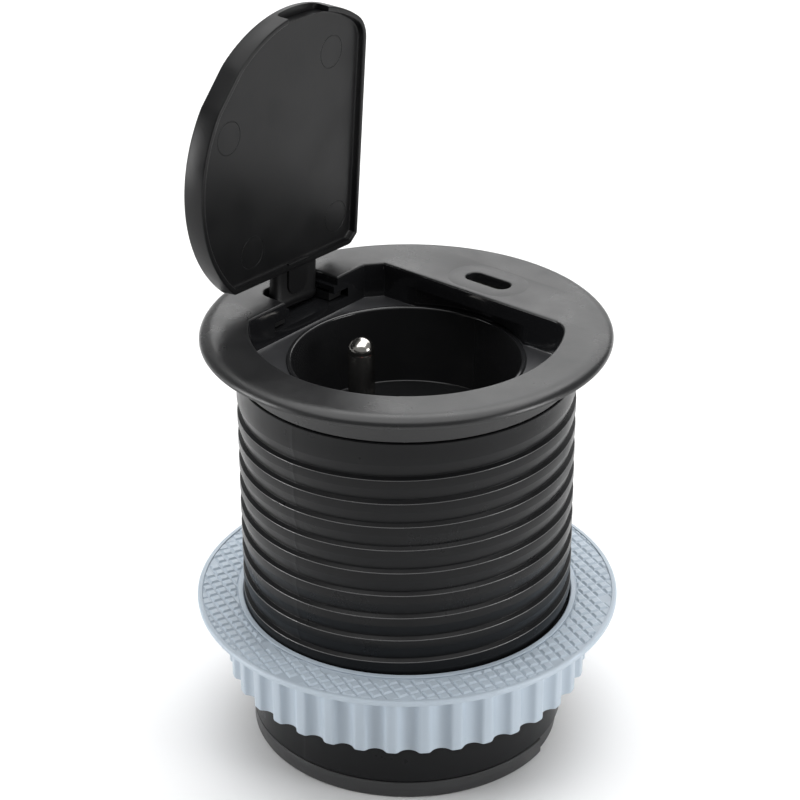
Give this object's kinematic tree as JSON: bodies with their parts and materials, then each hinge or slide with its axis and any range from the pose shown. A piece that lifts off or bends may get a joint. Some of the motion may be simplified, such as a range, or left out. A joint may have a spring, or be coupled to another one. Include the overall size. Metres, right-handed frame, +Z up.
{
  "type": "desk power grommet",
  "caption": "Round desk grommet socket with a hinged lid over a recessed power outlet, a USB-C port, a threaded barrel and a screw-up clamp nut.",
  "frame": {"origin": "centre of the flat base, on the barrel's axis", "axes": "+Z up along the barrel's axis; -X is the lid's hinge side; +Y is the USB-C side"},
  "size_m": [0.0758, 0.0758, 0.1292],
  "materials": {
    "flange_plastic": "fine satin-matte moulded PC, rounded rim",
    "liner_plastic": "polished black moulding",
    "barrel_plastic": "satin black moulding with fine flow marks",
    "lid_plastic": "satin dark grey moulding, spark-eroded inner face",
    "cup_plastic": "polished black thermoset",
    "carrier_plastic": "plain moulding",
    "nickel": "bright nickel plate on brass",
    "brass": "bare stamped brass",
    "shutter_plastic": "plain moulding",
    "spring_steel": "drawn wire",
    "terminal_plastic": "off-white polyamide",
    "zinc_steel": "zinc plated",
    "black_plastic": "plain moulding",
    "circuit_board": "green solder mask",
    "lead_insulation": "PVC insulation",
    "winding_tape": "polyester tape over windings",
    "capacitor_sleeve": "shrink sleeve",
    "ferrite": "sintered ferrite",
    "frame_plastic": "plain moulding",
    "base_plastic": "satin black moulding",
    "gland_rubber": "soft black rubber",
    "nut_plastic": "satin grey-blue polyamide, pads on the clamp face"
  },
  "bodies": {
    "housing": {"flange": "flange_plastic", "well_liner": "liner_plastic", "barrel": "barrel_plastic", "hinge_pin": "zinc_steel", "socket_cup": "cup_plastic", "contact_carrier": "carrier_plastic", "earth_pin": "nickel", "earth_strap": "brass", "live_contact": "brass", "neutral_contact": "brass", "shutter_spring": "spring_steel", "terminal_block": "terminal_plastic", "terminal_screws": "zinc_steel", "usb_shell": "zinc_steel", "usb_tongue": "black_plastic", "usb_board": "circuit_board", "usb_leads": "lead_insulation", "power_board": "circuit_board", "transformer": "winding_tape", "capacitors": "capacitor_sleeve", "choke": "ferrite", "fuse": "lead_insulation", "supply_leads": "lead_insulation", "inner_frame": "frame_plastic", "flange_screws": "zinc_steel", "tie_screws": "zinc_steel", "board_screws": "zinc_steel", "base_cover": "base_plastic", "inlet_gland": "gland_rubber"},
    "lid": {"lid": "lid_plastic"},
    "shutter": {"shutter": "shutter_plastic"},
    "clamp_ring": {"clamp_ring": "nut_plastic"},
    "lock_nut": {"lock_nut": "nut_plastic"}
  },
  "joints": [
    {"name": "lid_hinge", "type": "hinge", "parent": "housing", "child": "lid", "pos_m": [-0.0264, 0, 0.0762], "axis": [0, 0.9984, -0.0558], "range_deg": [-1.6, 88.4]},
    {"name": "nut_travel", "type": "slide", "parent": "housing", "child": "clamp_ring", "axis": [0, 0, 1], "range_m": [-0.00904, 0.03777]},
    {"name": "nut_turn", "type": "hinge", "parent": "clamp_ring", "child": "lock_nut", "pos_m": [0, 0, 0.0269], "axis": [0, 0, 1], "range_deg": [-720, 3060]},
    {"name": "shutter_slide", "type": "slide", "parent": "housing", "child": "shutter", "axis": [1, 0, 0], "range_m": [0, 0.0054], "stiffness_N_per_m": 60, "springref_m": -0.002, "deforming": ["shutter_spring"]}
  ],
  "couplings": [
    {"joint": "nut_travel", "follows": "nut_turn", "m_per_rad": 0.00070347}
  ]
}
